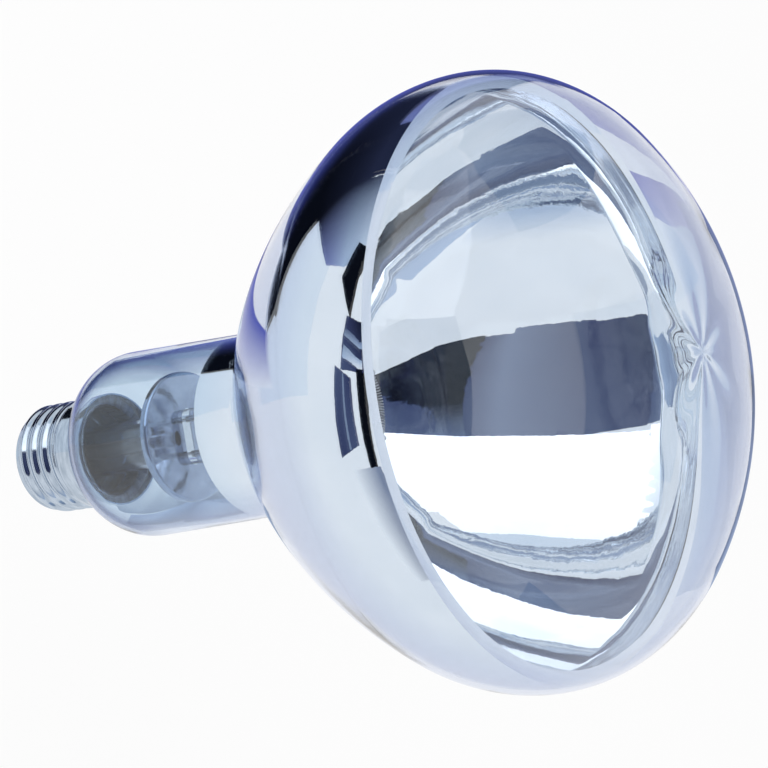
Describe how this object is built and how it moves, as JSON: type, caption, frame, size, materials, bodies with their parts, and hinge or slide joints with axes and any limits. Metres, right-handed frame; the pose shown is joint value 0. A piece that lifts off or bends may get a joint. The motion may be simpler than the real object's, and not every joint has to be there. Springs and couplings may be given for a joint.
{
  "type": "screw-in light bulb",
  "caption": "Clear glass reflector bulb with a mirrored bowl, domed face and Edison screw cap, for radiant heat or spot light in a lampholder.",
  "frame": {"origin": "tip of the cap's centre contact, on the lamp's axis", "axes": "+Z along the lamp's axis from the cap to the face; the picture is taken from the -Y side, above"},
  "size_m": [0.125, 0.125, 0.1842],
  "materials": {
    "clear_glass": "clear blown glass",
    "mirror_film": "vapour-deposited mirror",
    "cap_metal": "bright rolled sheet",
    "black_glass": "black moulded glass",
    "contact_brass": "stamped",
    "solder": "dull cast solder",
    "cement": "baked cement",
    "shield_metal": "stamped sheet",
    "lead_metal": "drawn wire",
    "filament_metal": "dark coiled wire",
    "support_metal": "drawn wire"
  },
  "bodies": {
    "root": {"glass_envelope": "clear_glass", "glass_stem": "clear_glass", "exhaust_tube": "clear_glass", "arbor_rod": "clear_glass", "reflector_coating": "mirror_film", "screw_shell": "cap_metal", "base_insulator": "black_glass", "centre_contact": "contact_brass", "centre_solder": "solder", "side_solder": "solder", "basing_cement": "cement", "heat_shield": "shield_metal", "lead_wire_centre": "lead_metal", "lead_wire_side": "lead_metal", "filament": "filament_metal", "filament_support_1": "support_metal", "filament_support_2": "support_metal", "filament_support_3": "support_metal", "filament_support_4": "support_metal"}
  },
  "joints": []
}
